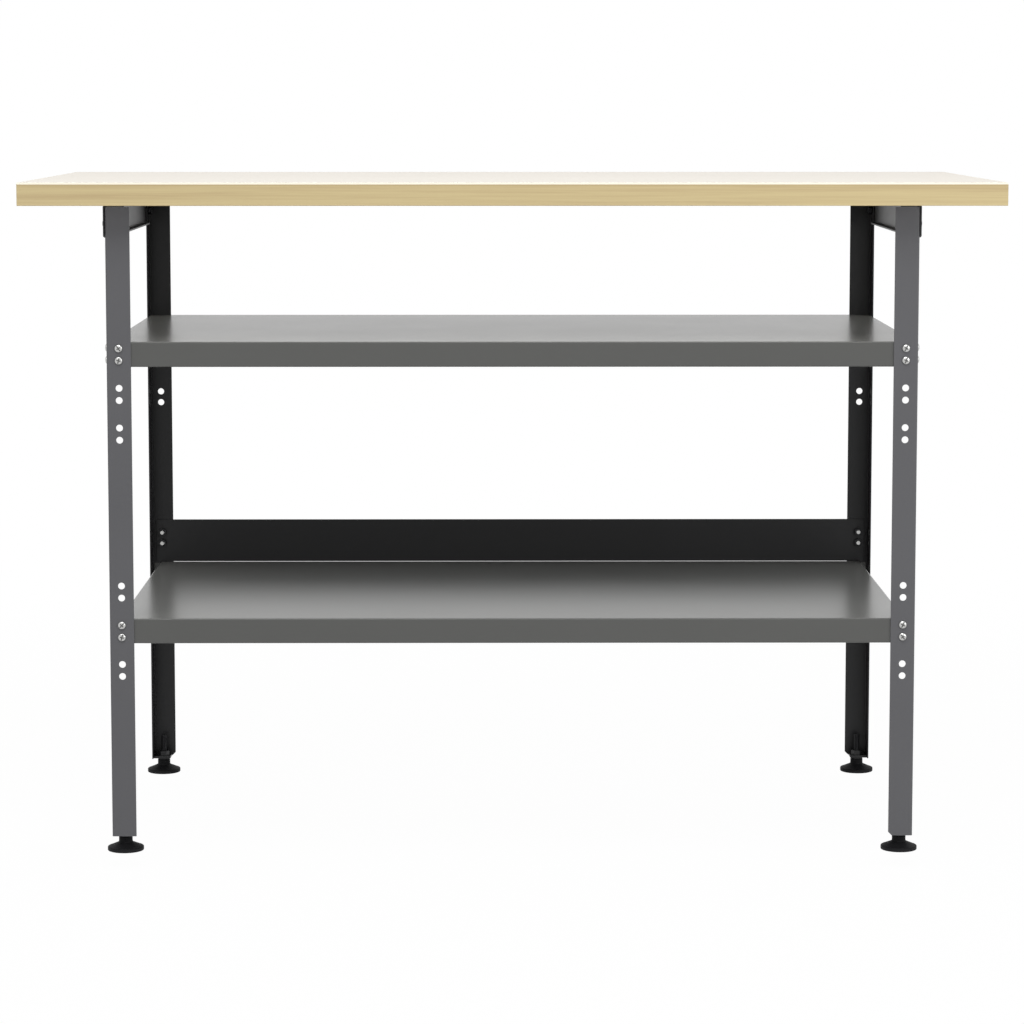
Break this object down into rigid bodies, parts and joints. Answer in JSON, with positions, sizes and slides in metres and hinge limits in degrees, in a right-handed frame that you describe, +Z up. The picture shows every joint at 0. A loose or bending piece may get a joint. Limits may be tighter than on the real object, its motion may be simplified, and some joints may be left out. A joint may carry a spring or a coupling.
{
  "type": "workbench",
  "caption": "Workbench with a laminated top on punched steel angle legs, with two steel shelves, a backstop and levelling feet.",
  "frame": {"origin": "on the floor under the middle of the worktop", "axes": "+Z up, +X along the bench to the user's right, +Y to the back, so the user stands on the -Y side"},
  "size_m": [1.2, 0.6, 0.832],
  "materials": {
    "pale_laminate": "cream melamine laminate on chipboard, satin with a faint mottle",
    "wood_grain_band": "matt wood-grain edge band with fine lengthwise streaks",
    "grey_paint": "semi-gloss grey powder coat",
    "dark_paint": "semi-gloss near-black powder coat",
    "bright_zinc": "bright zinc plate",
    "black_steel": "blackened steel, slightly oily",
    "black_plastic": "black moulded plastic"
  },
  "bodies": {
    "root": {"backstop": "dark_paint", "backstop_bolt_back_left_high": "bright_zinc", "backstop_bolt_back_left_low": "bright_zinc", "backstop_bolt_back_right_high": "bright_zinc", "backstop_bolt_back_right_low": "bright_zinc", "edge_band_back": "wood_grain_band", "edge_band_front": "wood_grain_band", "edge_band_left": "wood_grain_band", "edge_band_right": "wood_grain_band", "leg_back_left": "dark_paint", "leg_back_right": "dark_paint", "leg_front_left": "grey_paint", "leg_front_right": "grey_paint", "lower_shelf": "grey_paint", "lower_shelf_bolt_back_left_high": "bright_zinc", "lower_shelf_bolt_back_left_low": "bright_zinc", "lower_shelf_bolt_back_right_high": "bright_zinc", "lower_shelf_bolt_back_right_low": "bright_zinc", "lower_shelf_bolt_front_left_high": "bright_zinc", "lower_shelf_bolt_front_left_low": "bright_zinc", "lower_shelf_bolt_front_right_high": "bright_zinc", "lower_shelf_bolt_front_right_low": "bright_zinc", "rail_bolt_back_left": "black_steel", "rail_bolt_back_right": "black_steel", "rail_bolt_front_left": "black_steel", "rail_bolt_front_right": "black_steel", "side_rail_left": "dark_paint", "side_rail_right": "dark_paint", "upper_shelf": "grey_paint", "upper_shelf_bolt_back_left_high": "bright_zinc", "upper_shelf_bolt_back_left_low": "bright_zinc", "upper_shelf_bolt_back_right_high": "bright_zinc", "upper_shelf_bolt_back_right_low": "bright_zinc", "upper_shelf_bolt_front_left_high": "bright_zinc", "upper_shelf_bolt_front_left_low": "bright_zinc", "upper_shelf_bolt_front_right_high": "bright_zinc", "upper_shelf_bolt_front_right_low": "bright_zinc", "upper_shelf_side_bolt_back_left_high": "bright_zinc", "upper_shelf_side_bolt_back_left_low": "bright_zinc", "upper_shelf_side_bolt_back_right_high": "bright_zinc", "upper_shelf_side_bolt_back_right_low": "bright_zinc", "upper_shelf_side_bolt_front_left_high": "bright_zinc", "upper_shelf_side_bolt_front_left_low": "bright_zinc", "upper_shelf_side_bolt_front_right_high": "bright_zinc", "upper_shelf_side_bolt_front_right_low": "bright_zinc", "wood_screw_left_1": "bright_zinc", "wood_screw_left_2": "bright_zinc", "wood_screw_left_3": "bright_zinc", "wood_screw_right_1": "bright_zinc", "wood_screw_right_2": "bright_zinc", "wood_screw_right_3": "bright_zinc", "worktop_board": "pale_laminate"},
    "foot_pad_front_left": {"foot_pad_front_left": "black_plastic"},
    "foot_stud_front_left": {"foot_stud_front_left": "black_steel"},
    "foot_pad_front_right": {"foot_pad_front_right": "black_plastic"},
    "foot_stud_front_right": {"foot_stud_front_right": "black_steel"},
    "foot_pad_back_left": {"foot_pad_back_left": "black_plastic"},
    "foot_stud_back_left": {"foot_stud_back_left": "black_steel"},
    "foot_pad_back_right": {"foot_pad_back_right": "black_plastic"},
    "foot_stud_back_right": {"foot_stud_back_right": "black_steel"}
  },
  "joints": [
    {"name": "foot_height_front_left", "type": "slide", "parent": "root", "child": "foot_pad_front_left", "axis": [0, 0, -1], "range_m": [0, 0.02]},
    {"name": "stud_turn_front_left", "type": "hinge", "parent": "foot_pad_front_left", "child": "foot_stud_front_left", "pos_m": [-0.483, -0.248, 0], "axis": [0, 0, 1], "range_deg": [-5760, 0]},
    {"name": "foot_height_front_right", "type": "slide", "parent": "root", "child": "foot_pad_front_right", "axis": [0, 0, -1], "range_m": [0, 0.02]},
    {"name": "stud_turn_front_right", "type": "hinge", "parent": "foot_pad_front_right", "child": "foot_stud_front_right", "pos_m": [0.483, -0.248, 0], "axis": [0, 0, 1], "range_deg": [-5760, 0]},
    {"name": "foot_height_back_left", "type": "slide", "parent": "root", "child": "foot_pad_back_left", "axis": [0, 0, -1], "range_m": [0, 0.02]},
    {"name": "stud_turn_back_left", "type": "hinge", "parent": "foot_pad_back_left", "child": "foot_stud_back_left", "pos_m": [-0.483, 0.248, 0], "axis": [0, 0, 1], "range_deg": [-5760, 0]},
    {"name": "foot_height_back_right", "type": "slide", "parent": "root", "child": "foot_pad_back_right", "axis": [0, 0, -1], "range_m": [0, 0.02]},
    {"name": "stud_turn_back_right", "type": "hinge", "parent": "foot_pad_back_right", "child": "foot_stud_back_right", "pos_m": [0.483, 0.248, 0], "axis": [0, 0, 1], "range_deg": [-5760, 0]}
  ],
  "couplings": [
    {"joint": "stud_turn_front_left", "follows": "foot_height_front_left", "rad_per_m": -5026.5},
    {"joint": "stud_turn_front_right", "follows": "foot_height_front_right", "rad_per_m": -5026.5},
    {"joint": "stud_turn_back_left", "follows": "foot_height_back_left", "rad_per_m": -5026.5},
    {"joint": "stud_turn_back_right", "follows": "foot_height_back_right", "rad_per_m": -5026.5}
  ]
}
